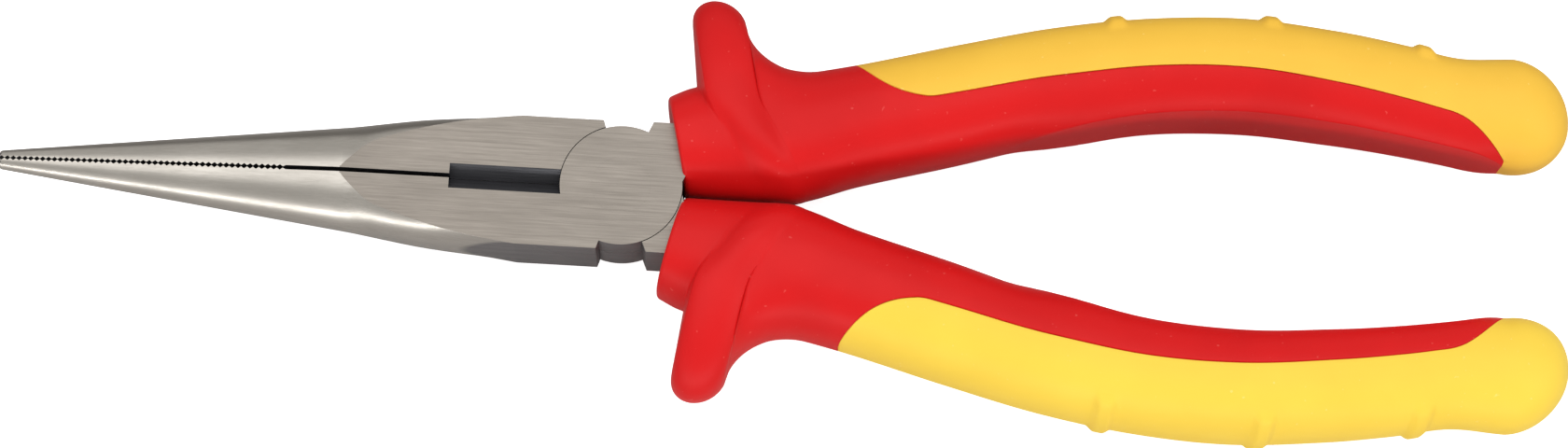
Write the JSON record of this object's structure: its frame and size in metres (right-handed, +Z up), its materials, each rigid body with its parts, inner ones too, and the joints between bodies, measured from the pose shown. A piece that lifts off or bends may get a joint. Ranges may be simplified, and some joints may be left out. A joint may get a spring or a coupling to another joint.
{
  "type": "needle nose pliers",
  "caption": "Insulated long nose pliers with toothed tapering jaws, side cutters, a lap joint and two-colour handles with thumb guards.",
  "frame": {"origin": "middle of the box round the closed pliers, on the surface that they lie on", "axes": "+X along the pliers towards the handle ends, +Z up, parallel to the joint's axis"},
  "size_m": [0.2004, 0.056, 0.0176],
  "materials": {
    "ground_steel": "finely ground",
    "rivet_steel": "ground flush",
    "hard_plastic": "satin",
    "soft_plastic": "satin, slightly soft"
  },
  "bodies": {
    "rear_lever": {"rear_half": "ground_steel", "joint_rivet": "rivet_steel", "lower_sleeve": "hard_plastic", "lower_grip": "soft_plastic"},
    "front_lever": {"front_half": "ground_steel", "upper_sleeve": "hard_plastic", "upper_grip": "soft_plastic"}
  },
  "joints": [
    {"name": "joint_hinge", "type": "hinge", "parent": "rear_lever", "child": "front_lever", "pos_m": [-0.02095, 0, 0.0088], "axis": [0, 0, 1], "range_deg": [0, 40]}
  ]
}
